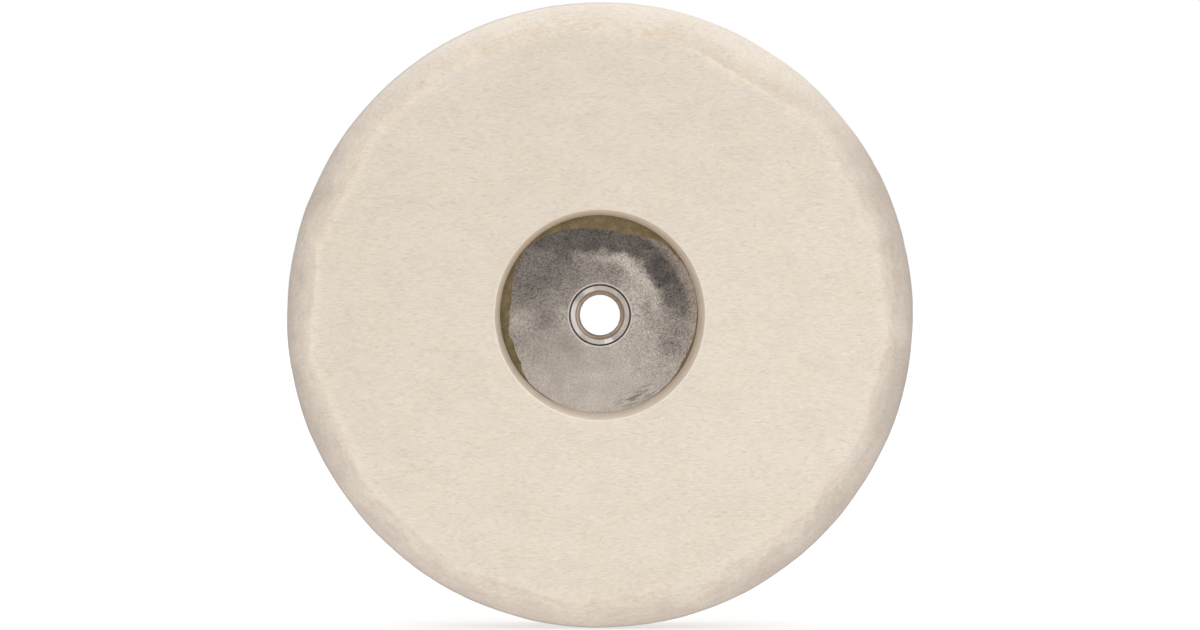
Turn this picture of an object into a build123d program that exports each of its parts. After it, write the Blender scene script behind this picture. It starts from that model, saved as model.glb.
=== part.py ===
"""Felt polishing wheel with an M14 threaded nut.

A thick ring of pressed wool felt is glued to the front of a dished steel plate. A hexagon nut with a
round neck is fixed behind the plate, and screws on to the spindle of an angle polisher.

Frame, in millimetres: the spin axis is Y. The origin is on that axis, in the rear face of the nut, which
seats on the shoulder of the spindle. The working face looks along -Y and the machine is on the +Y side.
Every piece is revolved from an outline drawn as (radius, depth). Depth is counted from the working face
towards the machine.
"""

import math
import os

from build123d import *

# --- felt ring ---
WHEEL_R = 90.0
FELT_THICKNESS = 30.0
FRONT_EDGE_R = 9.0
REAR_EDGE_R = 5.0
RECESS_R = 29.5
RECESS_MOUTH_R = 0.8

# --- dished plate ---
PLATE_R = 60.0
PLATE_T = 1.5
PLATE_EDGE_R = 0.5
DISH_DEPTH = 3.5
DISH_ANGLE = math.radians(15.5)
FOOT_R = 14.7
FOOT_BEND_R = 13.0
TOP_BEND_R = 6.0
HOLE_R = 9.05
HOLE_EDGE_R = 0.4

# --- adhesive ---
FILM_T = 0.3
BEAD_TOE_R = 26.3
BEAD_CLIMB = 1.0
RIM_BEAD_WIDTH = 1.2
RIM_BEAD_CLIMB = 0.9

# --- threaded nut, M14 x 2 ---
THREAD_MINOR_R = 6.0
NECK_R = 8.75
NECK_PROUD = 0.65
FRONT_CHAMFER_R = 7.3
FRONT_CHAMFER_ANGLE = math.radians(45.0)
HEX_ACROSS_FLATS = 22.0
HEX_LENGTH = 12.0
HEX_CHAMFER_START_R = 10.6
HEX_CHAMFER_ANGLE = math.radians(30.0)
LEAD_IN_R = 7.1
LEAD_IN_DEPTH = 0.45

# --- depths of the main faces ---
FLANGE_FRONT = FELT_THICKNESS + FILM_T
FLANGE_BACK = FLANGE_FRONT + PLATE_T
DISH_FLOOR = FLANGE_FRONT + DISH_DEPTH
DISH_BACK = DISH_FLOOR + PLATE_T
NECK_FRONT = DISH_FLOOR - NECK_PROUD
SEAT = DISH_BACK + HEX_LENGTH

# --- radius at which the cone of the dish meets the flat flange ---
CONE_RISE = DISH_DEPTH - (FOOT_BEND_R + TOP_BEND_R) * (1 - math.cos(DISH_ANGLE))
CONE_RUN = CONE_RISE / math.tan(DISH_ANGLE)
TOP_R = FOOT_R + CONE_RUN + (FOOT_BEND_R + TOP_BEND_R) * math.sin(DISH_ANGLE)


def at(radius, depth):
    """A point of an outline, in the XY plane."""
    return Vector(radius, depth - SEAT)


def arc_about(start, centre, end):
    """The short arc from start to end about centre."""
    towards_middle = ((start + end) / 2 - centre).normalized()
    return ThreePointArc(start, centre + towards_middle * (start - centre).length, end)


def turned(outline):
    """The solid swept by a closed outline about the spin axis."""
    return revolve(make_face(outline), axis=Axis.Y, revolution_arc=360)


def felt_body():
    """Felt ring with a large radius on the working edge and a small one at the mouth of the recess."""
    face_in = at(RECESS_R + RECESS_MOUTH_R, 0)
    face_out = at(WHEEL_R - FRONT_EDGE_R, 0)
    rim_front = at(WHEEL_R, FRONT_EDGE_R)
    rim_back = at(WHEEL_R, FELT_THICKNESS - REAR_EDGE_R)
    back_out = at(WHEEL_R - REAR_EDGE_R, FELT_THICKNESS)
    back_in = at(RECESS_R, FELT_THICKNESS)
    mouth = at(RECESS_R, RECESS_MOUTH_R)
    return turned(
        [
            Line(face_in, face_out),
            arc_about(face_out, at(WHEEL_R - FRONT_EDGE_R, FRONT_EDGE_R), rim_front),
            Line(rim_front, rim_back),
            arc_about(rim_back, at(WHEEL_R - REAR_EDGE_R, FELT_THICKNESS - REAR_EDGE_R), back_out),
            Line(back_out, back_in),
            Line(back_in, mouth),
            arc_about(mouth, at(RECESS_R + RECESS_MOUTH_R, RECESS_MOUTH_R), face_in),
        ]
    )


def dish_points(behind):
    """Ends of the foot bend, cone and top bend, on the surface lying this far behind the plate's front."""
    foot_bend_r = FOOT_BEND_R + behind
    top_bend_r = TOP_BEND_R - behind
    sine = math.sin(DISH_ANGLE)
    cosine = math.cos(DISH_ANGLE)
    return [
        at(FOOT_R, DISH_FLOOR + behind),
        at(FOOT_R + foot_bend_r * sine, DISH_FLOOR - FOOT_BEND_R + foot_bend_r * cosine),
        at(TOP_R - top_bend_r * sine, FLANGE_FRONT + TOP_BEND_R - top_bend_r * cosine),
        at(TOP_R, FLANGE_FRONT + behind),
    ]


def dish_edges(points):
    """The bend, cone and bend joining four dish points."""
    foot, cone_start, cone_end, top = points
    foot_centre = at(FOOT_R, DISH_FLOOR - FOOT_BEND_R)
    top_centre = at(TOP_R, FLANGE_FRONT + TOP_BEND_R)
    return [
        arc_about(foot, foot_centre, cone_start),
        Line(cone_start, cone_end),
        arc_about(cone_end, top_centre, top),
    ]


def dished_plate():
    """Pressed plate: flat centre with a round hole, a shallow cone, and a flat flange for the felt."""
    front = dish_points(0)
    back = dish_points(PLATE_T)
    hole_front = at(HOLE_R, DISH_FLOOR + HOLE_EDGE_R)
    hole_top = at(HOLE_R + HOLE_EDGE_R, DISH_FLOOR)
    hole_back = at(HOLE_R, DISH_BACK)
    edge_in = PLATE_R - PLATE_EDGE_R
    edge_front = at(edge_in, FLANGE_FRONT)
    rim_front = at(PLATE_R, FLANGE_FRONT + PLATE_EDGE_R)
    rim_back = at(PLATE_R, FLANGE_BACK - PLATE_EDGE_R)
    edge_back = at(edge_in, FLANGE_BACK)
    return turned(
        [
            arc_about(hole_front, at(HOLE_R + HOLE_EDGE_R, DISH_FLOOR + HOLE_EDGE_R), hole_top),
            Line(hole_top, front[0]),
            *dish_edges(front),
            Line(front[3], edge_front),
            arc_about(edge_front, at(edge_in, FLANGE_FRONT + PLATE_EDGE_R), rim_front),
            Line(rim_front, rim_back),
            arc_about(rim_back, at(edge_in, FLANGE_BACK - PLATE_EDGE_R), edge_back),
            Line(edge_back, back[3]),
            *dish_edges(back),
            Line(back[0], hole_back),
            Line(hole_back, hole_front),
        ]
    )


def adhesive():
    """Cured glue: a film over the flange, a bead round the floor of the recess and one round the rim."""
    mid_plate = FLANGE_FRONT + PLATE_T / 2
    toe_depth = FLANGE_FRONT + (TOP_R - BEAD_TOE_R) * math.tan(DISH_ANGLE)
    blank = turned(
        [
            Polyline(
                at(BEAD_TOE_R, toe_depth + PLATE_T / 2),
                at(BEAD_TOE_R, toe_depth - FILM_T),
                at(RECESS_R, FELT_THICKNESS - BEAD_CLIMB),
                at(RECESS_R, FELT_THICKNESS),
                at(PLATE_R + RIM_BEAD_WIDTH, FELT_THICKNESS),
                at(PLATE_R, FLANGE_FRONT + RIM_BEAD_CLIMB),
                at(PLATE_R - PLATE_T, mid_plate),
                at(TOP_R, mid_plate),
                close=True,
            )
        ]
    )
    return blank - dished_plate()


def threaded_nut():
    """Hexagon nut behind the plate, with a round neck that reaches through the hole and ends flat."""
    corner_r = HEX_ACROSS_FLATS / math.sqrt(3)
    corner_back = SEAT - (corner_r - HEX_CHAMFER_START_R) * math.tan(HEX_CHAMFER_ANGLE)
    bore_front = NECK_FRONT + (FRONT_CHAMFER_R - THREAD_MINOR_R) / math.tan(FRONT_CHAMFER_ANGLE)
    blank = turned(
        [
            Polyline(
                at(THREAD_MINOR_R, bore_front),
                at(FRONT_CHAMFER_R, NECK_FRONT),
                at(NECK_R, NECK_FRONT),
                at(NECK_R, DISH_BACK),
                at(corner_r, DISH_BACK),
                at(corner_r, corner_back),
                at(HEX_CHAMFER_START_R, SEAT),
                at(LEAD_IN_R, SEAT),
                at(THREAD_MINOR_R, SEAT - LEAD_IN_DEPTH),
                close=True,
            )
        ]
    )
    hexagon = RegularPolygon(HEX_ACROSS_FLATS / 2, 6, major_radius=False)
    hex_bar = extrude(Plane.XZ * hexagon, SEAT - NECK_FRONT)
    return blank & hex_bar


PIECES = {
    "felt_body": felt_body,
    "adhesive": adhesive,
    "dished_plate": dished_plate,
    "threaded_nut": threaded_nut,
}

os.makedirs("parts", exist_ok=True)
for node, build in PIECES.items():
    export_step(build(), f"parts/{node}.step")
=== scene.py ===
"""Looks of the felt polishing wheel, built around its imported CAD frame.

Lengths are in metres and MM is one millimetre. The spin axis is Y, the working face looks along -Y and +Z
is up. A point of a revolved outline is (radius, depth), with depth counted from the working face towards
the machine, as in the CAD. Angles run from +X towards +Z, as the working face shows them. They are in
radians in the mesh code.

Lists of places and all materials count in millimetres and degrees instead. The patterns of a material are
fractions from 0 to 1.
"""

import math

import bmesh
import bpy
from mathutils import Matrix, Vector, noise


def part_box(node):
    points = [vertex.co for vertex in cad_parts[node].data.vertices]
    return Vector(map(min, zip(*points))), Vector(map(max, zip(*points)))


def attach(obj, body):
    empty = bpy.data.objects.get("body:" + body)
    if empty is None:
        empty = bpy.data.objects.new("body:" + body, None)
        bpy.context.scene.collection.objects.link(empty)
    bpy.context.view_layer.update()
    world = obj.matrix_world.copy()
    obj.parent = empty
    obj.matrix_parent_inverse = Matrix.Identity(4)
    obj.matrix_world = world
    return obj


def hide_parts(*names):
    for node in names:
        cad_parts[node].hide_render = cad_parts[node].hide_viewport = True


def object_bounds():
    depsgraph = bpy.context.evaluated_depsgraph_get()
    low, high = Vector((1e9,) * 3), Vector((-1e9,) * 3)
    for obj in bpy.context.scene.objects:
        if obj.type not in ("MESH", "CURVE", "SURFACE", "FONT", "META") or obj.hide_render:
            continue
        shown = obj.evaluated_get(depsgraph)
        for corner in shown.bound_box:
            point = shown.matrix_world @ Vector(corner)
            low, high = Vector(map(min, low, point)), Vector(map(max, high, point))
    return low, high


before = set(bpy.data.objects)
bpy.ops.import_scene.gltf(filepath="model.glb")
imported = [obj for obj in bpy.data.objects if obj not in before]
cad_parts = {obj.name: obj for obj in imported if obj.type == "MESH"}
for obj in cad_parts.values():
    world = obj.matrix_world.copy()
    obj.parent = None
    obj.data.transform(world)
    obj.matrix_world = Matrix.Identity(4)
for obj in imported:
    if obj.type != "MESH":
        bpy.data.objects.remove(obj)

CAD_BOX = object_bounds()
MM = 0.001

# --- places read from the frame ---
FELT_LOW, FELT_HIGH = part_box("felt_body")
PLATE_LOW, PLATE_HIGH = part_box("dished_plate")
NUT_LOW, NUT_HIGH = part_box("threaded_nut")
FACE_Y = FELT_LOW.y
WHEEL_R = FELT_HIGH.x
FELT_DEPTH = FELT_HIGH.y - FACE_Y
PLATE_R = PLATE_HIGH.x
FLANGE_DEPTH = PLATE_LOW.y - FACE_Y
DISH_BACK_DEPTH = PLATE_HIGH.y - FACE_Y
NECK_DEPTH = NUT_LOW.y - FACE_Y
SEAT_DEPTH = NUT_HIGH.y - FACE_Y

# --- felt, as in the CAD ---
FRONT_EDGE_R = 9.0 * MM
REAR_EDGE_R = 5.0 * MM
RECESS_R = 29.5 * MM

# --- dished plate, as in the CAD ---
PLATE_T = 1.5 * MM
PLATE_EDGE_R = 0.5 * MM
HOLE_R = 9.05 * MM
HOLE_EDGE_R = 0.4 * MM
FOOT_R = 14.7 * MM
FOOT_BEND_R = 13.0 * MM
TOP_BEND_R = 6.0 * MM
DISH_ANGLE = math.radians(15.5)
DISH_DEPTH = DISH_BACK_DEPTH - PLATE_T - FLANGE_DEPTH
DISH_FLOOR = FLANGE_DEPTH + DISH_DEPTH
CONE_RUN = (DISH_DEPTH - (FOOT_BEND_R + TOP_BEND_R) * (1 - math.cos(DISH_ANGLE))) / math.tan(DISH_ANGLE)
TOP_R = FOOT_R + CONE_RUN + (FOOT_BEND_R + TOP_BEND_R) * math.sin(DISH_ANGLE)

# --- threaded nut, M14 x 2, as in the CAD ---
THREAD_PITCH = 2.0 * MM
THREAD_MINOR_R = 6.0 * MM
THREAD_MAJOR_R = 7.0 * MM
NECK_R = 8.75 * MM
FRONT_CHAMFER_R = 7.3 * MM
LEAD_IN_R = 7.1 * MM
LEAD_IN_DEPTH = 0.45 * MM
HEX_HALF_FLATS = NUT_HIGH.z
HEX_CHAMFER_START_R = 10.6 * MM
HEX_CHAMFER_SLOPE = 1 / math.tan(math.radians(30.0))


# ---------------------------------------------------------------- mesh helpers

def spin_point(radius, depth, angle):
    """The point of the wheel at a radius, depth and angle."""
    return Vector((radius * math.cos(angle), FACE_Y + depth, radius * math.sin(angle)))


def on_circle(angle):
    """A point of the unit circle, for noise that joins up with itself after a full turn."""
    return Vector((math.cos(angle), math.sin(angle), 0))


def smooth_step(low, high, value):
    """0 below low, 1 above high, and a smooth rise between them."""
    t = min(1.0, max(0.0, (value - low) / (high - low)))
    return t * t * (3 - 2 * t)


def bumps(here, kind):
    """Smooth random bumps at a place, of a kind given as (height, width)."""
    height, width = kind
    return height * noise.noise(here / width)


def ring_object(name, outline, steps, place, sharp_degrees):
    """A closed ring: each outline row is placed at every angle, and the last row joins the first.

    Edges are sharp where the surface turns by more than sharp_degrees, so 180 leaves none.
    """
    rows = len(outline)
    points = []
    for row in outline:
        for step in range(steps):
            points.append(place(row, 2 * math.pi * step / steps))
    faces = []
    for i in range(rows):
        for j in range(steps):
            below, right = (i + 1) % rows, (j + 1) % steps
            faces.append((i * steps + j, i * steps + right, below * steps + right, below * steps + j))
    mesh = bpy.data.meshes.new(name)
    mesh.from_pydata(points, [], faces)
    finish_mesh(mesh, sharp_degrees)
    piece = bpy.data.objects.new(name, mesh)
    bpy.context.scene.collection.objects.link(piece)
    return piece


def finish_mesh(mesh, sharp_degrees):
    """Faces outwards, smooth shading, and hard edges where the surface turns by more than the angle."""
    bm = bmesh.new()
    bm.from_mesh(mesh)
    bmesh.ops.recalc_face_normals(bm, faces=bm.faces)
    limit = math.radians(sharp_degrees)
    for face in bm.faces:
        face.smooth = True
    for edge in bm.edges:
        edge.smooth = edge.calc_face_angle(0) < limit
    bm.to_mesh(mesh)
    bm.free()


def straight(start, end, count):
    """Outline rows from start up to, but without, end."""
    return [start.lerp(end, k / count) for k in range(count)]


def arc(centre, radius, first, last, count):
    """Outline rows on an arc, angles in degrees from the radius direction towards greater depth."""
    rows = []
    for k in range(count):
        turn = math.radians(first + (last - first) * k / count)
        rows.append(Vector((centre[0] + radius * math.cos(turn), centre[1] + radius * math.sin(turn))))
    return rows


# ---------------------------------------------------------------- felt ring

# points round each ring, and rows of them along each part of the section
FELT_STEPS = 480
FACE_ROWS = 58
FRONT_EDGE_ROWS = 22
RIM_ROWS = 18
REAR_EDGE_ROWS = 9
BACK_ROWS = 34
WALL_ROWS = 22
MOUTH_ROWS = 4

# the recess is punched a little wider at its mouth than at its floor, and slightly aslant
MOUTH_WALL_R = RECESS_R + 0.45 * MM
FLOOR_WALL_R = RECESS_R - 0.40 * MM
MOUTH_ROUNDING = 0.4 * MM
LEAN_LEFT = 0.30 * MM
LEAN_UP = 0.28 * MM

# flats trimmed by hand on the working edge, as (angle in degrees, distance from the axis in mm)
TRIMMED_FLATS = [
    (8, 80.9), (28, 80.2), (59, 78.3), (84, 80.7), (112, 80.9), (131, 81.5), (152, 80.9), (176, 81.6),
    (203, 80.5), (228, 81.2), (252, 80.8), (280, 80.2), (301, 79.7), (321, 79.2), (342, 80.1),
]
# the one whose crease shows most
DEEPEST_FLAT = TRIMMED_FLATS[2:3]
TRIM_DEPTH = 0.66 * MM
TRIMMED_UP_TO = 12 * MM

# unevenness of the felt, as (height, width)
SWELL = (0.16 * MM, 26 * MM)
PILE = (0.06 * MM, 3.2 * MM)
FINE_PILE = (0.035 * MM, 1.3 * MM)
EDGE_LUMPS = (0.27 * MM, 7 * MM)
EDGE_HOLLOWS = (0.32 * MM, 4.5 * MM)
# radius in the noise of the circle that is walked once round the wheel: more gives more lumps
LUMPS_ROUND_EDGE = 7.2
HOLLOWS_ROUND_EDGE = 5.4


def wall_shift(angle):
    """How much further out the aslant recess wall stands at its floor than at its mouth."""
    return LEAN_UP * math.sin(angle) - LEAN_LEFT * math.cos(angle)


def felt_outline():
    """Rows round the section of the felt: face, front edge, rim, rear edge, back, recess wall, mouth."""
    face_in = Vector((MOUTH_WALL_R + MOUTH_ROUNDING, 0))
    face_out = Vector((WHEEL_R - FRONT_EDGE_R, 0))
    rim_front = Vector((WHEEL_R, FRONT_EDGE_R))
    rim_back = Vector((WHEEL_R, FELT_DEPTH - REAR_EDGE_R))
    back_out = Vector((WHEEL_R - REAR_EDGE_R, FELT_DEPTH))
    back_in = Vector((FLOOR_WALL_R, FELT_DEPTH))
    mouth = Vector((MOUTH_WALL_R, MOUTH_ROUNDING))
    rows = straight(face_in, face_out, FACE_ROWS)
    rows += arc((face_out.x, FRONT_EDGE_R), FRONT_EDGE_R, -90, 0, FRONT_EDGE_ROWS)
    rows += straight(rim_front, rim_back, RIM_ROWS)
    rows += arc((back_out.x, rim_back.y), REAR_EDGE_R, 0, 90, REAR_EDGE_ROWS)
    rows += straight(back_out, back_in, BACK_ROWS)
    rows += straight(back_in, mouth, WALL_ROWS)
    rows += arc((face_in.x, MOUTH_ROUNDING), MOUTH_ROUNDING, 180, 270, MOUTH_ROWS)
    return rows


def felt_normals(rows):
    """The outward direction of the section at each row."""
    normals = []
    for i, row in enumerate(rows):
        along = rows[(i + 1) % len(rows)] - rows[i - 1]
        normals.append(Vector((along.y, -along.x)).normalized())
    return normals


def trimmed_depth(radius, angle):
    """How deep the hand-trimmed flats cut into the working edge."""
    deepest = 0.0
    for turn, distance in TRIMMED_FLATS:
        beyond = radius * math.cos(angle - math.radians(turn)) - distance * MM
        deepest = max(deepest, smooth_step(-0.3 * MM, 2.8 * MM, beyond))
    return TRIM_DEPTH * deepest * smooth_step(WHEEL_R - 0.4 * MM, WHEEL_R - 4 * MM, radius)


def worn_edge(radius, depth, angle):
    """Lumps and hollows worn into the edges, weaker on the rim."""
    lump_height, lump_width = EDGE_LUMPS
    hollow_height, hollow_width = EDGE_HOLLOWS
    across = radius + depth
    lumps = noise.noise(on_circle(angle) * LUMPS_ROUND_EDGE + Vector((0, 0, across / lump_width)))
    hollows = noise.noise(on_circle(angle) * HOLLOWS_ROUND_EDGE + Vector((0, 5.1, across / hollow_width)))
    on_edge = smooth_step(WHEEL_R - 11 * MM, WHEEL_R - 7 * MM, radius)
    held = 1 - 0.45 * smooth_step(WHEEL_R - 4 * MM, WHEEL_R - 0.6 * MM, radius)
    return on_edge * held * (lump_height * lumps - hollow_height * abs(hollows))


def felt_relief(row, angle):
    """How far the felt surface stands proud of its true section, from cutting, pressing and shedding."""
    radius, depth = row
    here = spin_point(radius, depth, angle)
    glued = smooth_step(PLATE_R + 4 * MM, PLATE_R, radius) * smooth_step(20 * MM, 29 * MM, depth)
    nap = bumps(here, SWELL) + bumps(here, PILE) + bumps(here, FINE_PILE)
    trimmed = trimmed_depth(radius, angle) if depth < TRIMMED_UP_TO else 0.0
    return (nap + worn_edge(radius, depth, angle)) * (1 - glued) - trimmed


def make_felt():
    """The whole felt ring, on which every point is moved along the section's normal by the relief."""
    rows = felt_outline()
    normals = felt_normals(rows)

    def place(index, angle):
        row, normal = rows[index], normals[index]
        moved = row + normal * felt_relief(row, angle)
        on_wall = smooth_step(RECESS_R + 2 * MM, RECESS_R + 1 * MM, row.x) * row.y / FELT_DEPTH
        return spin_point(moved.x + on_wall * wall_shift(angle), moved.y, angle)

    return ring_object("felt_ring", range(len(rows)), FELT_STEPS, place, sharp_degrees=180)


# ---------------------------------------------------------------- dished plate

PLATE_STEPS = 240
PLATE_ROWS = 90
PLATE_DENTS = (0.05 * MM, 9 * MM)


def dish_surface_depth(radius):
    """Depth of the plate's front surface at a radius outside the hole."""
    cone_start = FOOT_R + FOOT_BEND_R * math.sin(DISH_ANGLE)
    cone_end = TOP_R - TOP_BEND_R * math.sin(DISH_ANGLE)
    if radius <= FOOT_R:
        return DISH_FLOOR
    if radius <= cone_start:
        return DISH_FLOOR - FOOT_BEND_R + math.sqrt(FOOT_BEND_R**2 - (radius - FOOT_R) ** 2)
    if radius <= cone_end:
        start = DISH_FLOOR - FOOT_BEND_R * (1 - math.cos(DISH_ANGLE))
        return start - (radius - cone_start) * math.tan(DISH_ANGLE)
    if radius <= TOP_R:
        return FLANGE_DEPTH + TOP_BEND_R - math.sqrt(TOP_BEND_R**2 - (TOP_R - radius) ** 2)
    return FLANGE_DEPTH


def back_of(radius):
    """The point of the plate's rear surface behind the front surface at a radius."""
    nudge = 0.05 * MM
    slope = (dish_surface_depth(radius + nudge) - dish_surface_depth(radius - nudge)) / (2 * nudge)
    lean = math.atan(slope)
    return Vector((radius - PLATE_T * math.sin(lean), dish_surface_depth(radius) + PLATE_T * math.cos(lean)))


def plate_outline():
    """Rows round the section of the plate, starting in the hole and running outwards over the front."""
    lip_r = HOLE_R + HOLE_EDGE_R
    edge_r = PLATE_R - PLATE_EDGE_R
    front_r = [lip_r + (edge_r - lip_r) * (k / PLATE_ROWS) for k in range(PLATE_ROWS)]
    hole_back = Vector((HOLE_R, DISH_FLOOR + PLATE_T))
    hole_front = Vector((HOLE_R, DISH_FLOOR + HOLE_EDGE_R))
    rows = straight(hole_back, hole_front, 3)
    rows += arc((lip_r, hole_front.y), HOLE_EDGE_R, 180, 270, 6)
    rows += [Vector((r, dish_surface_depth(r))) for r in front_r]
    rows += arc((edge_r, FLANGE_DEPTH + PLATE_EDGE_R), PLATE_EDGE_R, -90, 0, 5)
    rows += arc((edge_r, FLANGE_DEPTH + PLATE_T - PLATE_EDGE_R), PLATE_EDGE_R, 0, 90, 5)
    rows += [back_of(r) for r in reversed(front_r)]
    return rows


def make_plate():
    """The plate, with the slight unevenness of a pressed sheet."""

    def place(row, angle):
        here = spin_point(row.x, row.y, angle)
        away_from_hole = smooth_step(HOLE_R + 1 * MM, HOLE_R + 4 * MM, row.x)
        return here + Vector((0, bumps(here, PLATE_DENTS) * away_from_hole, 0))

    return ring_object("dished_plate_sheet", plate_outline(), PLATE_STEPS, place, sharp_degrees=50)


# ---------------------------------------------------------------- glue

GLUE_STEPS = 720
BEAD_ROWS = 14
UNDER_ROWS = 6
# the bead is sunk a little into the felt and the plate, so that no gap shows
SUNK_IN_FELT = 0.25 * MM
SUNK_IN_PLATE = 0.06 * MM
FILM_IN_PLATE = 0.15 * MM
# how far the squeezed-out glue reaches in from the recess wall, as (angle in degrees, reach in mm)
GLUE_REACH = [
    (0, 0.3), (14, 0.1), (30, 0.2), (41, 0.8), (50, 1.3), (60, 2.9), (71, 4.3), (83, 4.4), (93, 4.1),
    (104, 3.3), (114, 2.2), (126, 1.2), (140, 0.6), (150, 1.1), (164, 2.5), (174, 3.1), (184, 2.8),
    (192, 2.0), (198, 2.7), (204, 2.2), (210, 2.3), (216, 1.0), (224, 0.3), (238, 0.25), (246, 0.08),
    (300, 0.08), (316, 0.3), (332, 0.9), (346, 0.6),
]
# section of the bead on the plate's rim, in mm: (radius past the rim, depth past the flange's front,
# part of the radius that swells and shrinks on the way round)
RIM_BEAD = [
    (-2.0, 0.1, 0.0), (-0.2, 0.9, 0.0), (0.1, 0.85, 0.05), (0.2, 0.5, 0.35), (0.3, 0.1, 0.75),
    (0.3, -0.4, 1.1), (0.0, -0.45, 0.0),
]


def glue_reach(angle):
    """The reach of the squeezed-out glue at an angle, smooth between the stated ones."""
    turn = math.degrees(angle) % 360
    following = GLUE_REACH[1:] + [(360 + GLUE_REACH[0][0], GLUE_REACH[0][1])]
    for (first, low), (last, high) in zip(GLUE_REACH, following):
        if first <= turn <= last:
            return MM * (low + (high - low) * smooth_step(first, last, turn))
    return MM * GLUE_REACH[0][1]


def bead_point(share, angle):
    """A point of the front bead: share 0 is on the recess wall and 1 is at the toe on the plate."""
    around = on_circle(angle)
    wobble = 0.5 * noise.noise(around * 9) + 0.35 * noise.noise(around * 27)
    reach = glue_reach(angle) * (1 + 0.22 * wobble) + 0.12 * MM * noise.noise(around * 60)
    reach = max(0.05 * MM, reach)
    wall_r = FLOOR_WALL_R + SUNK_IN_FELT + wall_shift(angle)
    radius = wall_r - (reach + SUNK_IN_FELT) * share
    climb = (0.35 + 0.6 * smooth_step(0.3 * MM, 3 * MM, reach) + 0.25 * noise.noise(around * 24)) * MM
    lift = 0.30 * MM * smooth_step(0.1 * MM, 1.2 * MM, reach) * (1 - share**3)
    ripple = 0.05 * MM * noise.noise(around * 40 + Vector((0, 0, share * 4)))
    skin = max(0.0, lift + climb * (1 - share) ** 3 + ripple)
    floor = min(dish_surface_depth(radius), FELT_DEPTH + 2 * MM)
    sink = SUNK_IN_PLATE if share == 1 else 0
    return Vector((radius, floor - skin * (1 - share**8) + sink))


def under_point(share, angle):
    """A point of the film's rear side, from share 0 below the toe of the bead to 1 on the flange."""
    toe = bead_point(1, angle)
    radius = toe.x + (TOP_R - toe.x) * share
    return Vector((radius, dish_surface_depth(radius) + FILM_IN_PLATE))


def rim_point(row, angle):
    """A point of the bead on the plate's rim, at which the given part of the radius is uneven."""
    past_rim, past_flange, uneven = row
    around = on_circle(angle)
    swell = 1 + 0.35 * noise.noise(around * 16) + 0.2 * noise.noise(around * 50)
    return Vector((PLATE_R + (past_rim + uneven * swell) * MM, FLANGE_DEPTH + past_flange * MM))


def make_glue():
    """Glue film with an uneven front bead in the recess and a bead round the rim of the plate."""
    rows = [(bead_point, k / BEAD_ROWS) for k in range(BEAD_ROWS + 1)]
    rows += [(under_point, k / UNDER_ROWS) for k in range(1, UNDER_ROWS + 1)]
    rows += [(rim_point, row) for row in RIM_BEAD]
    film_end = ((TOP_R - PLATE_R) / MM + 1, RIM_BEAD[-1][1], 0.0)
    rows.append((rim_point, film_end))

    def place(row, angle):
        point_of, value = row
        point = point_of(value, angle)
        return spin_point(point.x, point.y, angle)

    return ring_object("glue_bead", rows, GLUE_STEPS, place, sharp_degrees=180)


# ---------------------------------------------------------------- threaded nut

NUT_STEPS = 144
BORE_ROWS = 120
HEX_ROWS = 8
CHAMFER_ROWS = 14
# shares of the pitch taken up by half of the thread's flat crest and by one flank
HALF_CREST = 0.125
FLANK = 0.289
# small roundings of the turned and the hexagonal edges
NECK_ROUNDING = 0.12 * MM
SHOULDER_FILLET = 0.05 * MM
HEX_CORNER_ROUNDING = 0.25 * MM
HEX_FRONT_ROUNDING = 0.15 * MM
# how far out the shoulder is flat, from 0 at the neck to 1 at the sides of the hexagon
FLAT_SHARE = 0.985


def thread_radius(depth, angle):
    """Wall radius of a right-hand internal thread with a flat crest and a narrower flat root."""
    phase = (depth / THREAD_PITCH - angle / (2 * math.pi)) % 1
    from_crest = abs(phase - 0.5)
    rise = min(1.0, max(0.0, (from_crest - HALF_CREST) / FLANK))
    return THREAD_MINOR_R + (THREAD_MAJOR_R - THREAD_MINOR_R) * rise


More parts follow.
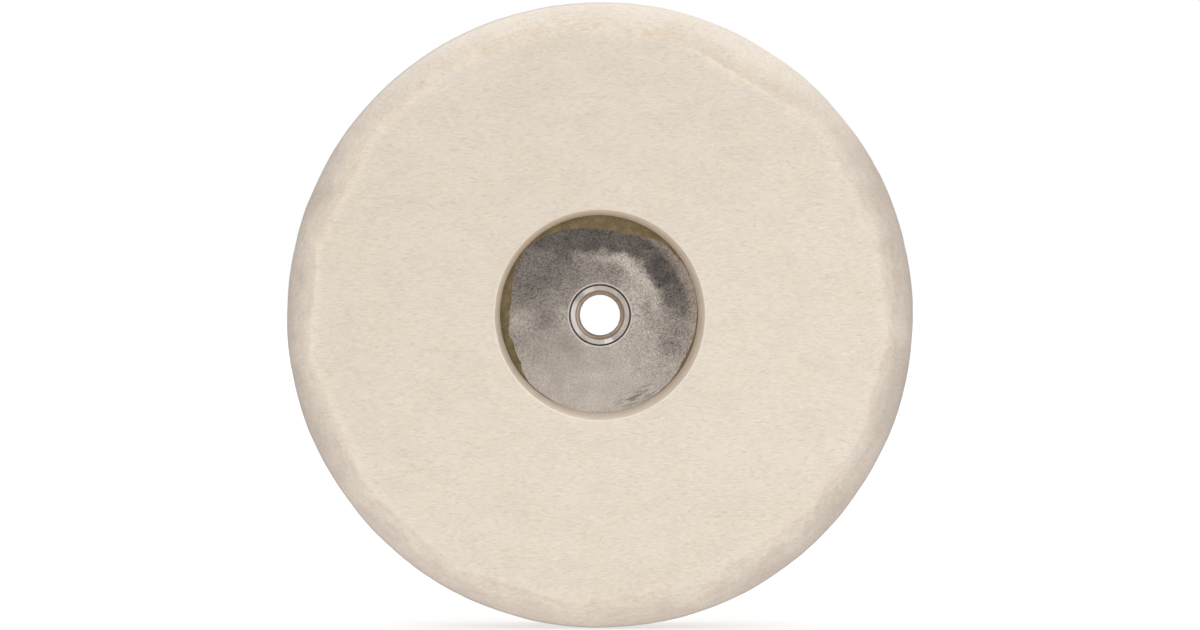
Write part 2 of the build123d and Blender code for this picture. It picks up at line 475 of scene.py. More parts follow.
def make_nut():
    """Hexagon nut with a round neck, from rows of (kind, depth, value).

    The value of a turned row is its radius. That of a hex_share row is its place between neck and hexagon.
    The radius of the other rows follows from the depth and the angle.
    """
    shoulder = DISH_BACK_DEPTH
    corner_r = HEX_HALF_FLATS / math.cos(math.radians(30))
    chamfer_length = (corner_r - HEX_CHAMFER_START_R) / HEX_CHAMFER_SLOPE
    chamfer_front = SEAT_DEPTH - chamfer_length
    hex_front = shoulder + HEX_FRONT_ROUNDING
    hex_length = chamfer_front - shoulder
    rows = []
    for k in range(BORE_ROWS + 1):
        rows.append(("bore", SEAT_DEPTH + (NECK_DEPTH - SEAT_DEPTH) * k / BORE_ROWS, None))
    rows.append(("turned", NECK_DEPTH, NECK_R - NECK_ROUNDING))
    rows.append(("turned", NECK_DEPTH + NECK_ROUNDING, NECK_R))
    rows.append(("turned", shoulder - SHOULDER_FILLET, NECK_R))
    rows.append(("turned", shoulder, NECK_R + SHOULDER_FILLET))
    rows.append(("hex_share", shoulder, 0.5))
    rows.append(("hex_share", shoulder, FLAT_SHARE))
    rows += [("hex", hex_front + hex_length * k / HEX_ROWS, None) for k in range(HEX_ROWS)]
    for k in range(CHAMFER_ROWS + 1):
        rows.append(("hex", chamfer_front + chamfer_length * k / CHAMFER_ROWS, None))
    rows.append(("turned", SEAT_DEPTH, HEX_CHAMFER_START_R - 1.2 * MM))
    rows.append(("turned", SEAT_DEPTH, LEAD_IN_R + 1 * MM))

    def hex_radius(angle):
        from_flat = (angle % math.radians(60)) - math.radians(30)
        sharp = HEX_HALF_FLATS / math.cos(from_flat)
        return sharp - HEX_CORNER_ROUNDING * smooth_step(corner_r - 0.35 * MM, corner_r, sharp)

    def place(row, angle):
        kind, depth, value = row
        if kind == "bore":
            front_cone = FRONT_CHAMFER_R - (depth - NECK_DEPTH)
            rear_cone = LEAD_IN_R - (SEAT_DEPTH - depth) * (LEAD_IN_R - THREAD_MINOR_R) / LEAD_IN_DEPTH
            radius = max(thread_radius(depth, angle), front_cone, rear_cone)
        elif kind == "hex":
            cone = HEX_CHAMFER_START_R + (SEAT_DEPTH - depth) * HEX_CHAMFER_SLOPE
            radius = min(hex_radius(angle), cone)
        elif kind == "hex_share":
            radius = NECK_R + (hex_radius(angle) - NECK_R) * value
        else:
            radius = value
        return spin_point(radius, depth, angle)

    return ring_object("threaded_nut_m14", rows, NUT_STEPS, place, sharp_degrees=28)


# ---------------------------------------------------------------- node helpers

def spoke(angle, radius=1.0):
    """The point of the wheel's plane at an angle in degrees and a radius."""
    turn = math.radians(angle)
    return (radius * math.cos(turn), 0, radius * math.sin(turn))


class Graph:
    """A node tree, with short calls for the nodes that the looks here need."""

    def __init__(self, tree):
        self.tree = tree

    def add(self, kind, inputs=None, **settings):
        """A node with its settings, and its inputs by name or index: numbers are set, sockets are linked."""
        made = self.tree.nodes.new(kind)
        for name, value in settings.items():
            setattr(made, name, value)
        for key, value in (inputs or {}).items():
            if isinstance(value, bpy.types.NodeSocket):
                self.tree.links.new(value, made.inputs[key])
            else:
                made.inputs[key].default_value = value
        return made

    def math(self, operation, a, b=0.0):
        """The result of a maths node."""
        return self.add("ShaderNodeMath", {0: a, 1: b}, operation=operation).outputs[0]

    def vector(self, operation, a, b=(0.0, 0.0, 0.0)):
        """The result of a vector maths node. The second input is a number for SCALE."""
        second = "Scale" if operation == "SCALE" else 1
        made = self.add("ShaderNodeVectorMath", {0: a, second: b}, operation=operation)
        return made.outputs["Value" if operation in ("DISTANCE", "DOT_PRODUCT") else "Vector"]

    def axes(self, vector):
        """The outputs X, Y and Z of a vector."""
        return self.add("ShaderNodeSeparateXYZ", {"Vector": vector}).outputs

    def product(self, *values):
        """The product of two or more values."""
        result = values[0]
        for value in values[1:]:
            result = self.math("MULTIPLY", result, value)
        return result

    def ramp(self, value, low, high, out_low=0.0, out_high=1.0, smooth=True):
        """Maps low..high to out_low..out_high and holds the ends."""
        inputs = {"Value": value, "From Min": low, "From Max": high, "To Min": out_low, "To Max": out_high}
        kind = "SMOOTHSTEP" if smooth else "LINEAR"
        return self.add("ShaderNodeMapRange", inputs, interpolation_type=kind).outputs["Result"]


class Surface(Graph):
    """A new material. place is the position in millimetres."""

    def __init__(self, name):
        self.material = bpy.data.materials.new(name)
        self.material.use_nodes = True
        super().__init__(self.material.node_tree)
        self.shader = self.tree.nodes["Principled BSDF"]
        metres = self.add("ShaderNodeTexCoord").outputs["Object"]
        self.place = self.vector("SCALE", metres, 1 / MM)

    def stretched(self, scale, source=None, lean=0.0):
        """The position scaled along each axis, after a turn about the spin axis by lean degrees."""
        turned = source or self.place
        if lean:
            spin = {"Vector": turned, "Rotation": (0, math.radians(lean), 0)}
            turned = self.add("ShaderNodeMapping", spin).outputs[0]
        return self.vector("MULTIPLY", turned, scale)

    def pushed(self, source, size, reach):
        """A position moved about by noise of a size, by up to roughly reach."""
        inputs = {"Vector": source, "Scale": 1 / size, "Detail": 1.0}
        drift = self.add("ShaderNodeTexNoise", inputs).outputs["Color"]
        centred = self.vector("SUBTRACT", drift, (0.5, 0.5, 0.5))
        return self.vector("ADD", source, self.vector("SCALE", centred, 4 * reach))

    def noise(self, where, size, detail=2.0, roughness=0.5):
        """Noise from 0 to 1 whose blobs are about size across, in the units of where."""
        inputs = {"Vector": where, "Scale": 1 / size, "Detail": detail, "Roughness": roughness}
        return self.add("ShaderNodeTexNoise", inputs).outputs["Fac"]

    def spread(self, pattern, reach):
        """A noise pattern turned into a number that wanders between -reach and reach."""
        return self.ramp(pattern, 0.3, 0.7, -reach, reach, smooth=False)

    def blend(self, share, first, second, mode="MIX"):
        """first where share is 0 and the second, blended by mode, where it is 1."""
        made = self.add("ShaderNodeMix", data_type="RGBA", blend_type=mode)
        for key, value in ((0, share), (6, first), (7, second)):
            if isinstance(value, bpy.types.NodeSocket):
                self.tree.links.new(value, made.inputs[key])
            else:
                made.inputs[key].default_value = value if key == 0 else (*value, 1.0)
        return made.outputs[2]

    def radius_and_angle(self):
        """Distance from the spin axis in millimetres, and the angle from +X towards +Z in degrees."""
        parts = self.axes(self.place)
        square = self.math("ADD", self.math("POWER", parts["X"], 2.0), self.math("POWER", parts["Z"], 2.0))
        turn = self.math("ARCTAN2", parts["Z"], parts["X"])
        return self.math("SQRT", square), self.math("DEGREES", turn)

    def near(self, value, centre, half_width, soft):
        """1 within half_width of centre, fading to 0 over soft."""
        gap = self.math("ABSOLUTE", self.math("SUBTRACT", value, centre))
        return self.ramp(gap, half_width, half_width + soft, 1.0, 0.0)

    def near_angle(self, turn, centre, half_width, soft):
        """As near, for angles in degrees, which wrap round."""
        gap = self.math("PINGPONG", self.math("SUBTRACT", turn, centre), 180.0)
        return self.ramp(gap, half_width, half_width + soft, 1.0, 0.0)

    def beyond_flats(self, flats):
        """How far a point lies outside the polygon of the flats, from their (angle, distance) pairs."""
        furthest = -1000.0
        for angle, distance in flats:
            along = self.vector("DOT_PRODUCT", self.place, spoke(angle))
            furthest = self.math("MAXIMUM", self.math("SUBTRACT", along, distance), furthest)
        return furthest

    def spots(self, where, listed):
        """The strongest of soft round spots, listed as (angle, radius, size in mm, strength)."""
        total = 0.0
        for angle, radius, size, strength in listed:
            gap = self.vector("DISTANCE", where, spoke(angle, radius))
            total = self.math("MAXIMUM", self.ramp(gap, size, 0.15 * size, 0.0, strength), total)
        return total

    def shade(self, inputs, height=None, strength=0.5, distance=0.1 * MM):
        """Sets or connects the shader's inputs by name, and adds the bump of a height."""
        for name, value in inputs.items():
            if isinstance(value, bpy.types.NodeSocket):
                self.tree.links.new(value, self.shader.inputs[name])
            else:
                self.shader.inputs[name].default_value = value
        if height is not None:
            bump = self.add("ShaderNodeBump", {"Height": height, "Strength": strength, "Distance": distance})
            self.tree.links.new(bump.outputs[0], self.shader.inputs["Normal"])
        return self.material


# ---------------------------------------------------------------- felt material

PALE_WOOL = (0.95, 0.88, 0.79)
# painted shade for the working edge, darkest away from its top
EDGE_SHADE = (0.385, 0.300, 0.262)


class FeltEdge:
    """The patterns that the looks of the felt's working edge share."""

    def __init__(self, g, turn):
        self.ragged = g.noise(g.place, 8.0, 2.0, 0.5)
        self.tufts = g.noise(g.place, 1.1, 3.0, 0.6)
        # millimetres outside the crease where the flat face ends
        self.beyond = g.math("ADD", g.beyond_flats(TRIMMED_FLATS), g.spread(self.ragged, 0.7))
        # 1 away from the wheel's top and 0 at its top: it sets where the edge gets painted shade, since its
        # top faces the light
        self.away_from_top = g.math("SUBTRACT", 1.0, g.near_angle(turn, 92.0, 36.0, 42.0))
        on_edge = g.ramp(self.beyond, -0.6, 0.6)
        self.chipped = g.product(on_edge, g.ramp(self.away_from_top, 0.0, 1.0, 0.25, 1.0))
        self.chips = g.noise(self.along_edge(g), 1.0, 2.0, 0.5)

    def along_edge(self, g):
        """A place for noise that is drawn out along the edge."""
        spun = g.vector("NORMALIZE", g.stretched((1.0, 0.0, 1.0)))
        outwards = g.add("ShaderNodeCombineXYZ", {"Y": g.product(self.beyond, 0.55)}).outputs[0]
        return g.vector("ADD", g.stretched((11.0, 0.0, 11.0), spun), outwards)


def wool_fibres(g):
    """Patterns of fine wavy fibres that lie nearly sideways, and of sparser long strands."""
    wavy = g.pushed(g.pushed(g.place, 17.0, 1.6), 2.6, 0.22)
    fibres = g.noise(g.stretched((0.17, 1.0, 1.0), wavy), 0.40, 2.0, 0.55)
    crossing = g.noise(g.stretched((0.20, 1.0, 1.0), wavy, 9.0), 0.46, 2.0, 0.5)
    strands = g.noise(g.stretched((0.15, 1.0, 1.0), wavy, -5.0), 0.62, 1.0, 0.5)
    return g.math("ADD", g.product(fibres, 0.6), g.product(crossing, 0.4)), strands


def clean_wool(g, lines, strands):
    """Cream wool with a faint cloudy tint, pale and dark fibres and a few brown specks."""
    clouds = g.noise(g.stretched((0.6, 1.0, 1.0)), 9.0, 3.0, 0.5)
    tint = g.noise(g.stretched((0.5, 1.0, 1.0)), 4.2, 2.0, 0.5)
    color = g.blend(g.ramp(clouds, 0.34, 0.66), (0.800, 0.704, 0.590), (0.826, 0.740, 0.636))
    color = g.blend(g.ramp(tint, 0.42, 0.64, 0.0, 0.55), color, (0.845, 0.742, 0.612))
    color = g.blend(g.ramp(tint, 0.44, 0.30, 0.0, 0.40), color, (0.812, 0.706, 0.618))
    color = g.blend(g.ramp(lines, 0.50, 0.68, 0.0, 0.42), color, (0.60, 0.52, 0.43))
    color = g.blend(g.ramp(lines, 0.50, 0.33, 0.0, 0.42), color, PALE_WOOL)
    color = g.blend(g.ramp(strands, 0.66, 0.76, 0.0, 0.30), color, (0.62, 0.47, 0.33))
    color = g.blend(g.ramp(strands, 0.34, 0.25, 0.0, 0.22), color, (0.57, 0.54, 0.50))
    cell = g.add("ShaderNodeTexVoronoi", {"Vector": g.place, "Scale": 1 / 7.5}).outputs
    cell_value = g.add("ShaderNodeSeparateColor", {"Color": cell["Color"]}).outputs[0]
    specks = g.product(g.ramp(cell["Distance"], 0.050, 0.022), g.ramp(cell_value, 0.50, 0.62))
    return g.blend(g.product(specks, 0.38), color, (0.42, 0.35, 0.27))


def trimmed_edge(g, color, turn, lines, edge):
    """Tufts on the trimmed band, a tan crease along its inner side, chips drawn out along it, and painted
    shade and a painted highlight on the deepest cut.
    """
    band = g.ramp(edge.beyond, -0.3, 2.6)
    color = g.blend(g.product(band, g.ramp(edge.tufts, 0.50, 0.70, 0.0, 0.20)), color, (0.62, 0.53, 0.43))
    color = g.blend(g.product(band, g.ramp(edge.tufts, 0.48, 0.32, 0.0, 0.28)), color, (0.94, 0.87, 0.77))
    upper = g.math("MAXIMUM", g.near_angle(turn, 108.0, 48.0, 30.0), 0.30)
    patches = g.ramp(g.noise(g.place, 4.2, 3.0, 0.6), 0.36, 0.66, 0.15, 1.0)
    combed = g.ramp(lines, 0.36, 0.64, 0.5, 1.0)
    crease = g.product(g.near(edge.beyond, 0.9, 0.3, 2.4), upper, patches, combed)
    color = g.blend(g.product(crease, 0.58), color, (0.69, 0.53, 0.385))
    dark_chips = g.product(edge.chipped, g.ramp(edge.chips, 0.50, 0.66, 0.0, 0.20))
    pale_chips = g.product(edge.chipped, g.ramp(edge.chips, 0.50, 0.34, 0.0, 0.20))
    color = g.blend(dark_chips, color, (0.56, 0.47, 0.40))
    color = g.blend(pale_chips, color, (0.93, 0.84, 0.73))
    # painted shade on the deepest cut flat, and a painted highlight along its crease
    beyond_cut = g.beyond_flats(DEEPEST_FLAT)
    painted_shade_on_cut = g.product(g.ramp(beyond_cut, 0.2, 1.4), g.near_angle(turn, 60.0, 10.0, 10.0))
    painted_shade_on_cut = g.product(painted_shade_on_cut, g.ramp(edge.beyond, 9.0, 2.5))
    painted_highlight_on_cut = g.product(g.near(beyond_cut, 0.1, 0.05, 0.50), g.near_angle(turn, 59.0, 7.0, 3.0))
    color = g.blend(g.product(painted_shade_on_cut, 0.13), color, (0.50, 0.40, 0.31))
    return g.blend(g.product(painted_highlight_on_cut, 0.28), color, PALE_WOOL)


def dusty_edge_with_painted_light(g, color, radius, turn, edge):
    """Dust on the sides, painted shade on the edge away from its top and on its flanks, painted light on its
    top, and a grey outline of painted shade on the rim.
    """
    left = g.near_angle(turn, 166.0, 18.0, 30.0)
    right = g.near_angle(turn, 345.0, 25.0, 45.0)
    sides = g.math("MAXIMUM", left, g.product(right, 0.45))
    dusty = g.product(g.ramp(edge.beyond, 1.5, 6.0), sides, g.ramp(edge.ragged, 0.35, 0.65, 0.45, 1.0))
    dust = g.product(dusty, g.ramp(edge.tufts, 0.35, 0.65, 0.22, 0.50))
    color = g.blend(dust, color, (0.52, 0.482, 0.41))

    depth = g.math("ADD", g.axes(g.place)["Y"], -FACE_Y / MM)
    ragged_depth = g.math("ADD", depth, g.spread(edge.ragged, 5.0))
    front_share = g.ramp(ragged_depth, 8.0, 25.0, 1.0, 0.38)
    # painted shade: the edge is painted darker away from its top, less underneath and more towards the
    # front, and also on its left and right flanks
    painted_edge_shade = g.ramp(edge.beyond, -0.2, 8.8, 0.0, 0.50, smooth=False)
    underneath = g.near_angle(turn, 272.0, 14.0, 24.0)
    shade_round_edge = g.product(g.ramp(edge.away_from_top, 0.0, 1.0, 0.05, 1.0), g.ramp(underneath, 0.0, 1.0, 1.0, 0.74))
    color = g.blend(g.product(painted_edge_shade, shade_round_edge, front_share), color, EDGE_SHADE)
    flanks = g.math("MAXIMUM", g.near_angle(turn, 12.0, 24.0, 24.0), g.near_angle(turn, 168.0, 38.0, 26.0))
    painted_flank_shade = g.product(g.ramp(edge.beyond, -1.5, 4.0, 0.0, 0.15), flanks, front_share)
    color = g.blend(painted_flank_shade, color, EDGE_SHADE)
    # painted light: the top of the edge is painted paler, as the light comes from above
    painted_top_light = g.product(g.near_angle(turn, 85.0, 35.0, 24.0), g.ramp(edge.beyond, 3.5, 7.5))
    color = g.blend(g.product(painted_top_light, 0.22), color, (0.95, 0.89, 0.81))

    wheel_r = WHEEL_R / MM
    # painted shade: a grey outline on the rim where the felt curves away at its outline, stronger at the
    # lower left and weaker at the upper right
    rim = g.product(g.ramp(radius, wheel_r - 1.1, wheel_r - 0.2), g.ramp(ragged_depth, 9.0, 27.0, 1.0, 0.25))
    rim_shade_share = g.ramp(g.near_angle(turn, 248.0, 34.0, 25.0), 0.0, 1.0, 0.50, 0.70)
    less_rim_shade = g.ramp(g.near_angle(turn, 52.0, 24.0, 20.0), 0.0, 1.0, 0.0, 0.42)
    return g.blend(g.product(rim, g.math("SUBTRACT", rim_shade_share, less_rim_shade)), color, (0.415, 0.395, 0.38))


def recess_wall_painted_light(g, color, radius, turn):
    """Warmer, paler wool on the recess wall as painted light, strongest on its left side, and browner at its
    top as painted shade.
    """
    recess_r = RECESS_R / MM
    in_recess = g.ramp(radius, recess_r + 1.0, recess_r + 0.6)
    # painted light on the wall, strongest on the left; the top of the wall is painted browner as painted
    # shade
    painted_light_left = g.ramp(g.near_angle(turn, 192.0, 52.0, 50.0), 0.0, 1.0, 0.60, 0.97)
    wall = g.blend(g.near_angle(turn, 90.0, 40.0, 45.0), (1.0, 0.885, 0.765), (0.89, 0.75, 0.60))
    return g.blend(g.product(in_recess, painted_light_left), color, wall)


def felt_material():
    """Cream pressed wool with a trimmed, dusty working edge, painted light and shade on the edge and in the
    recess, and painted shade towards the upper left of the face.
    """
    g = Surface("pressed_wool_felt")
    radius, turn = g.radius_and_angle()
    lines, strands = wool_fibres(g)
    edge = FeltEdge(g, turn)
    color = clean_wool(g, lines, strands)
    color = trimmed_edge(g, color, turn, lines, edge)
    color = dusty_edge_with_painted_light(g, color, radius, turn, edge)
    color = recess_wall_painted_light(g, color, radius, turn)
    # painted shade: the face is painted a little darker towards its upper left
    upper_left = g.vector("DOT_PRODUCT", g.place, (-0.55, 0.0, 0.85))
    painted_shade_upper_left = g.product(g.ramp(upper_left, -60.0, 75.0, 0.045, 0.15), g.ramp(edge.beyond, 0.5, -3.0))
    color = g.blend(painted_shade_upper_left, color, (0.30, 0.25, 0.19))

    grain = g.noise(g.place, 0.55, 2.0, 0.6)
    nap = g.math("ADD", g.product(lines, 1.1), g.product(grain, 0.35))
    height = g.math("ADD", nap, g.product(edge.tufts, g.ramp(radius, 79.0, 84.0, 0.15, 1.2)))
    height = g.math("ADD", height, g.product(edge.chips, edge.chipped))
    surface = {"Base Color": color, "Roughness": 0.95, "Sheen Weight": 0.04, "Sheen Roughness": 0.6}
    return g.shade(surface, height, 0.5, 0.26 * MM)


# ---------------------------------------------------------------- metal and glue materials

# painted shade for the narrow gap between the nut's neck and the plate's hole
GAP_SHADE = (0.03, 0.028, 0.026)
# darker spots of painted dark reflection on the front of the plate, as (angle in degrees, radius in mm, size
# in mm, strength)
DARK_REFLECTION_SPOTS = [
    (27, 22.4, 7.5, 1.00), (42, 22.8, 8.0, 1.00), (62, 22.8, 7.0, 0.95), (80, 22.8, 7.0, 0.95),
    (100, 22.6, 8.5, 0.95), (119, 22.6, 9.0, 0.92), (350, 23.4, 7.0, 0.44), (338, 23.2, 6.5, 0.45),
    (157, 22.0, 7.5, 0.62), (182, 15.6, 6.5, 0.48), (129, 14.0, 5.5, 0.62), (71, 13.9, 4.0, 0.50),
    (352, 16.5, 6.0, 0.28), (8, 14.4, 3.2, 0.40), (218, 13.0, 6.0, 0.20), (196, 25.6, 5.5, 0.25),
]
# painted highlights and painted darker wedges across the nut's ring, as (angle, half width and softness in
# degrees, strength)
NUT_PAINTED_HIGHLIGHTS = [(288, 5, 7, 0.65), (116, 7, 12, 0.40), (188, 24, 25, 0.45)]
NUT_PAINTED_DARK_WEDGES = [(305, 4, 5, 0.35), (40, 4, 8, 0.30), (138, 7, 9, 0.45)]


def painted_dark_reflection(g, turn, soft_r, soft_turn, cloud):
    """Painted dark reflection: the dark crescent on the upper part of the plate, with its corner, its inner
    shade and the darker spots.
    """
    outer = g.product(g.ramp(soft_r, 24.8, 29.0, 0.0, 0.70), g.near_angle(turn, 2.0, 26.0, 24.0))
    crescent = g.product(g.ramp(soft_r, 16.8, 20.8), g.near_angle(soft_turn, 73.0, 46.0, 52.0), 0.95)
    crescent = g.product(crescent, g.math("SUBTRACT", 1.0, outer))
    corner = g.product(g.near_angle(soft_turn, 137.0, 12.0, 40.0), g.ramp(soft_r, 10.0, 18.0, 0.42, 0.72))
    inner = g.product(g.near_angle(soft_turn, 116.0, 42.0, 32.0), g.ramp(soft_r, 17.0, 14.5), 0.42)
    dark_reflection = g.math("MAXIMUM", g.math("MAXIMUM", crescent, corner), inner)
    flat = g.pushed(g.stretched((1.0, 0.0, 1.0)), 5.0, 1.1)
    dark_reflection = g.math("MAXIMUM", dark_reflection, g.spots(flat, DARK_REFLECTION_SPOTS))
    return g.product(dark_reflection, g.ramp(cloud, 0.34, 0.60, 0.90, 1.0))


def plate_material():
    """Dull pressed steel with a fine mottle, a crescent of painted dark reflection, painted highlights on
    the bend and the hole's lip, and a painted warm reflection near the felt.
    """
    g = Surface("mottled_steel")
    radius, turn = g.radius_and_angle()
    fine = g.noise(g.place, 0.47, 2.0, 0.7)
    coarse = g.noise(g.place, 1.15, 2.0, 0.6)
    cloud = g.noise(g.place, 5.0, 3.0, 0.5)
    drift = g.noise(g.place, 9.0, 1.0, 0.5)
    soft_r = g.math("ADD", radius, g.spread(cloud, 1.3))
    soft_turn = g.math("ADD", turn, g.spread(drift, 10.0))
    facing = g.axes(g.add("ShaderNodeNewGeometry").outputs["Normal"])["Y"]
    recess_r = RECESS_R / MM
    on_front = g.product(g.ramp(radius, recess_r + 1.5, recess_r), g.ramp(facing, 0.1, -0.1))
    on_back = g.ramp(facing, -0.1, 0.1)

    dark_reflection = g.product(painted_dark_reflection(g, turn, soft_r, soft_turn, cloud), on_front)
    # painted highlight along the bend at the foot of the dish
    painted_bend_highlight = g.product(g.near(soft_r, 16.9, 0.5, 2.2), g.near_angle(soft_turn, 48.0, 18.0, 24.0), on_front)
    # darker over the left of the dish
    darker_left_band = g.product(g.near(soft_r, 17.0, 4.5, 4.0), g.near_angle(soft_turn, 155.0, 60.0, 50.0), on_front)
    color = g.blend(g.ramp(cloud, 0.36, 0.64), (0.500, 0.452, 0.404), (0.560, 0.510, 0.460))
    color = g.blend(g.product(on_back, 0.45), color, (0.33, 0.305, 0.282))
    color = g.blend(g.product(darker_left_band, 0.22), color, (0.26, 0.237, 0.215))
    color = g.blend(dark_reflection, color, (0.105, 0.094, 0.088))
    color = g.blend(g.product(painted_bend_highlight, 0.55), color, (0.66, 0.60, 0.545))
    # painted reflection: a warm tint of the felt wall on the plate next to it, at the upper right
    painted_felt_reflection = g.product(g.near(radius, 28.2, 1.0, 2.2), g.near_angle(turn, 28.0, 26.0, 30.0))
    color = g.blend(g.product(painted_felt_reflection, 0.62), color, (0.40, 0.315, 0.262))

    upper = g.ramp(g.near_angle(turn, 75.0, 95.0, 60.0), 0.0, 1.0, 0.0, 0.20)
    depth_of_grain = g.math("ADD", g.ramp(dark_reflection, 0.0, 0.8, 0.38, 0.66, smooth=False), upper)
    grain = g.math("ADD", g.product(fine, 0.78), g.product(coarse, 0.22))
    swing = g.product(g.ramp(grain, 0.32, 0.68, -1.0, 1.0, smooth=False), depth_of_grain)
    color = g.blend(1.0, color, g.math("ADD", swing, 1.0), "MULTIPLY")

    strokes = g.ramp(g.noise(g.stretched((0.10, 1.0, 1.0), None, 18.0), 0.50, 1.0, 0.5), 0.48, 0.62)
    smeared = g.product(g.near(radius, 26.4, 0.8, 1.8), g.near_angle(turn, 296.0, 8.0, 10.0))
    color = g.blend(g.product(strokes, smeared, 0.78), color, (0.18, 0.157, 0.125))
    hole_r = HOLE_R / MM
    # painted highlight on the raised lip round the hole, which is also made less metallic
    painted_bright_lip = g.near(radius, hole_r + 0.29, 0.18, 0.09)
    color = g.blend(g.product(painted_bright_lip, 0.9), color, (0.98, 0.94, 0.89))
    # painted shade on the wall of the plate's hole
    color = g.blend(g.ramp(radius, hole_r + 0.035, hole_r + 0.01), color, GAP_SHADE)

    roughness = g.ramp(grain, 0.35, 0.65, 0.36, 0.58)
    metallic = g.ramp(painted_bright_lip, 0.0, 1.0, 0.85, 0.1)
    surface = {"Base Color": color, "Roughness": roughness, "Metallic": metallic}
    return g.shade(surface, grain, 0.25, 0.05 * MM)


def nut_material():
    """Bright turned steel with fine rings, painted radial highlights and darker wedges, brown in the
    threads.
    """
    g = Surface("turned_steel")
    radius, turn = g.radius_and_angle()
    around = g.add("ShaderNodeCombineXYZ", {"X": radius, "Y": g.product(turn, 0.004)}).outputs[0]
    rings = g.noise(around, 0.20, 2.0, 0.5)
    cloud = g.noise(g.place, 2.6, 3.0, 0.6)
    color = g.blend(g.ramp(cloud, 0.35, 0.65), (0.495, 0.445, 0.402), (0.595, 0.545, 0.497))
    warm = g.near_angle(turn, 90.0, 50.0, 35.0)
    color = g.blend(g.product(warm, 0.50), color, (0.510, 0.445, 0.365))
    color = g.blend(g.ramp(rings, 0.35, 0.65, 0.0, 0.22), color, (0.40, 0.37, 0.36))
    for streaks, tone in ((NUT_PAINTED_HIGHLIGHTS, (0.93, 0.90, 0.88)), (NUT_PAINTED_DARK_WEDGES, (0.34, 0.31, 0.30))):
        for centre, half_width, soft, strength in streaks:
            color = g.blend(g.product(g.near_angle(turn, centre, half_width, soft), strength), color, tone)

    chamfer_r = FRONT_CHAMFER_R / MM
    in_thread = g.ramp(radius, chamfer_r + 0.06, chamfer_r - 0.08)
    crest = g.near(radius, 6.55, 0.12, 0.25)
    brown = g.blend(crest, (0.50, 0.41, 0.335), (0.74, 0.63, 0.54))
    brown = g.blend(g.product(g.near_angle(turn, 25.0, 25.0, 30.0), 0.45), brown, (0.30, 0.235, 0.18))
    brown = g.blend(g.product(g.near_angle(turn, 272.0, 28.0, 34.0), 0.50), brown, (0.30, 0.24, 0.19))
    brown = g.blend(g.product(g.near_angle(turn, 90.0, 24.0, 30.0), 0.30), brown, (0.32, 0.26, 0.20))
    lit_arc = g.product(g.near(radius, 6.76, 0.14, 0.14), g.near_angle(turn, 202.0, 38.0, 30.0))
    brown = g.blend(lit_arc, brown, (1.0, 0.87, 0.78))
    color = g.blend(g.product(in_thread, 0.88), color, brown)

    # painted shade: the side of the neck is painted near black in the gap to the plate's hole
    neck_r, neck_y, hexagon_y = NECK_R / MM, NUT_LOW.y / MM, PLATE_HIGH.y / MM
    y = g.axes(g.place)["Y"]
    on_neck = g.ramp(radius, neck_r - 0.030, neck_r - 0.005)
    near_hole = g.near(radius, neck_r + 0.10, 0.12, 0.05)
    behind_front = g.ramp(y, neck_y + 0.10, neck_y + 0.25)
    before_hexagon = g.ramp(y, hexagon_y + 0.10, hexagon_y)
    color = g.blend(g.product(on_neck, near_hole, behind_front, before_hexagon), color, GAP_SHADE)
    roughness = g.ramp(rings, 0.3, 0.7, 0.26, 0.44)
    metallic = g.ramp(in_thread, 0.0, 1.0, 0.85, 0.35)
    surface = {"Base Color": color, "Roughness": roughness, "Metallic": metallic}
    return g.shade(surface, rings, 0.20, 0.05 * MM)


def glue_material():
    """Dried contact adhesive: olive brown with browner patches, and felt lint stuck in it."""
    g = Surface("dried_adhesive")
    radius, turn = g.radius_and_angle()
    cloud = g.noise(g.place, 2.6, 3.0, 0.6)
    patch = g.noise(g.place, 4.0, 2.0, 0.5)
    speck = g.noise(g.place, 0.45, 3.0, 0.7)
    color = g.blend(g.ramp(cloud, 0.36, 0.64), (0.212, 0.160, 0.068), (0.308, 0.250, 0.132))
    color = g.blend(g.ramp(patch, 0.54, 0.70, 0.0, 0.65), color, (0.260, 0.155, 0.055))
    color = g.blend(g.ramp(speck, 0.52, 0.72, 0.0, 0.5), color, (0.110, 0.078, 0.030))
    color = g.blend(g.ramp(speck, 0.44, 0.26, 0.0, 0.5), color, (0.490, 0.408, 0.238))
    by_wall = g.product(g.ramp(radius, 28.1, 28.9), g.ramp(radius, 31.0, 30.5))
    by_wall = g.product(by_wall, g.ramp(speck, 0.40, 0.60, 0.35, 1.0))
    color = g.blend(g.product(by_wall, 0.42), color, (0.110, 0.080, 0.034))
    thin = g.near_angle(turn, 272.0, 20.0, 14.0)
    color = g.blend(g.product(thin, 0.85), color, (0.52, 0.41, 0.33))
    height = g.math("ADD", speck, g.product(cloud, 0.8))
    roughness = g.ramp(cloud, 0.3, 0.7, 0.38, 0.6)
    return g.shade({"Base Color": color, "Roughness": roughness, "IOR": 1.48}, height, 0.5, 0.12 * MM)


def dress(piece, node, material):
    """Gives a piece its material and body, and hides the CAD node that it stands in for."""
    piece.data.materials.append(material)
    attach(piece, "root")
    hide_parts(node)


# ---------------------------------------------------------------- stage, light and camera

WHITE = (1, 1, 1, 1)
FLOOR_HALF = 40.0
FLOOR_GREY = (0.46, 0.46, 0.46, 1)
FLOOR_GLOW = 0.575
CAMERA_DISTANCE = 0.905
CAMERA_LENS = 95.3
SOFTBOX_PLACE = (0.25, -0.5, 1.1)
SOFTBOX_SIZE = 0.9
SOFTBOX_WATTS = 0.75


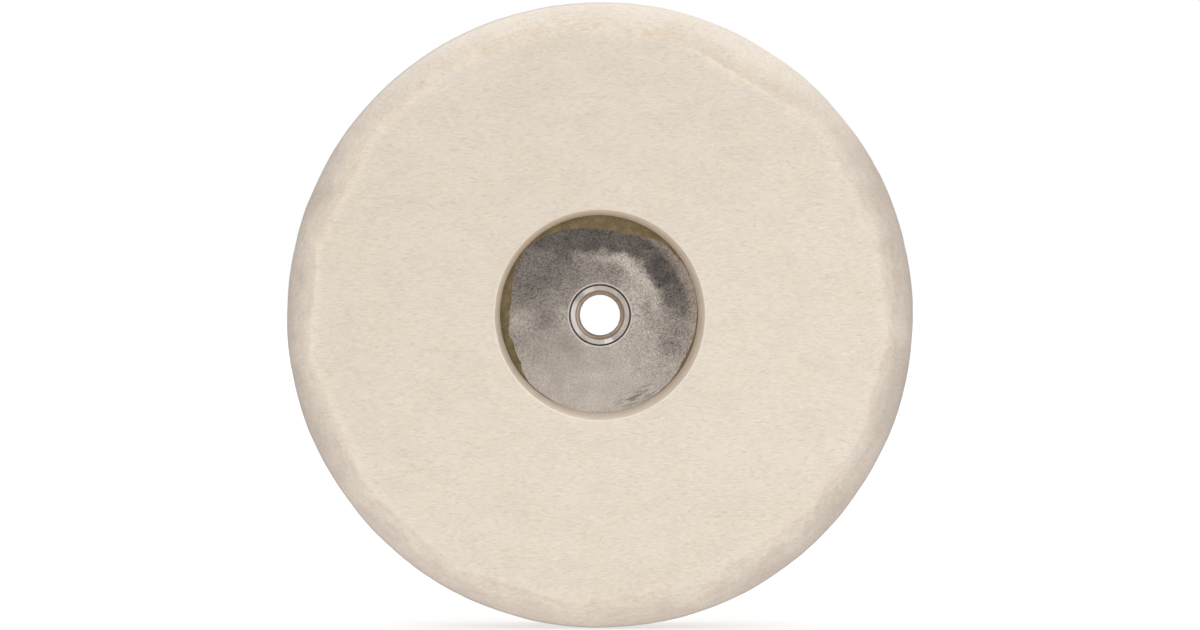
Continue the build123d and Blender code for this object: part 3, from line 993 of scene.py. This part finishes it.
def make_floor():
    """A plain pale floor under the wheel's rim, lit enough to be as white as the surroundings."""
    mesh = bpy.data.meshes.new("studio_floor")
    half, level = FLOOR_HALF, CAD_BOX[0].z
    corners = [(-half, -half, level), (half, -half, level), (half, half, level), (-half, half, level)]
    mesh.from_pydata(corners, [], [(0, 1, 2, 3)])
    floor = bpy.data.objects.new("studio_floor", mesh)
    bpy.context.scene.collection.objects.link(floor)
    g = Surface("studio_floor_paint")
    paint = {"Base Color": FLOOR_GREY, "Roughness": 0.9}
    glow = {"Emission Color": WHITE, "Emission Strength": FLOOR_GLOW}
    mesh.materials.append(g.shade({**paint, **glow}))


def make_world():
    """Soft white surroundings, dimmer at the sides, seen as plain white by the camera."""
    world = bpy.data.worlds.new("studio")
    world.use_nodes = True
    bpy.context.scene.world = world
    g = Graph(world.node_tree)
    parts = g.axes(g.add("ShaderNodeTexCoord").outputs["Generated"])
    up = g.ramp(parts["Z"], 0.0, 1.0, 0.87, 1.62, smooth=False)
    sideways = g.ramp(g.math("ABSOLUTE", parts["X"]), 0.22, 0.85, 1.0, 0.30)
    strength = g.product(up, sideways)
    soft = g.add("ShaderNodeBackground", {"Color": WHITE, "Strength": strength}).outputs[0]
    plain = g.add("ShaderNodeBackground", {"Color": WHITE, "Strength": 1.0}).outputs[0]
    seen = g.add("ShaderNodeLightPath").outputs["Is Camera Ray"]
    mixed = g.add("ShaderNodeMixShader", {0: seen, 1: soft, 2: plain}).outputs[0]
    g.tree.links.new(mixed, g.tree.nodes["World Output"].inputs["Surface"])


def make_light():
    """A square soft light above and in front of the wheel, which looks at its centre."""
    data = bpy.data.lights.new("overhead_softbox", "AREA")
    data.size = SOFTBOX_SIZE
    data.energy = SOFTBOX_WATTS
    lamp = bpy.data.objects.new("overhead_softbox", data)
    lamp.location = SOFTBOX_PLACE
    towards = Vector((0, FACE_Y, 0)) - lamp.location
    lamp.rotation_mode = "QUATERNION"
    lamp.rotation_quaternion = towards.to_track_quat("-Z", "Y")
    bpy.context.scene.collection.objects.link(lamp)


def make_camera():
    """The camera on the spin axis, square on to the working face."""
    data = bpy.data.cameras.new("camera")
    data.sensor_width = 36.0
    data.lens = CAMERA_LENS
    camera = bpy.data.objects.new("camera", data)
    camera.location = (0, FACE_Y - CAMERA_DISTANCE, 0)
    camera.rotation_euler = (math.radians(90), 0, 0)
    bpy.context.scene.collection.objects.link(camera)
    bpy.context.scene.camera = camera


make_camera()
make_world()
make_floor()
make_light()
bpy.context.scene.view_settings.view_transform = "Standard"

dress(make_felt(), "felt_body", felt_material())
dress(make_plate(), "dished_plate", plate_material())
dress(make_glue(), "adhesive", glue_material())
dress(make_nut(), "threaded_nut", nut_material())
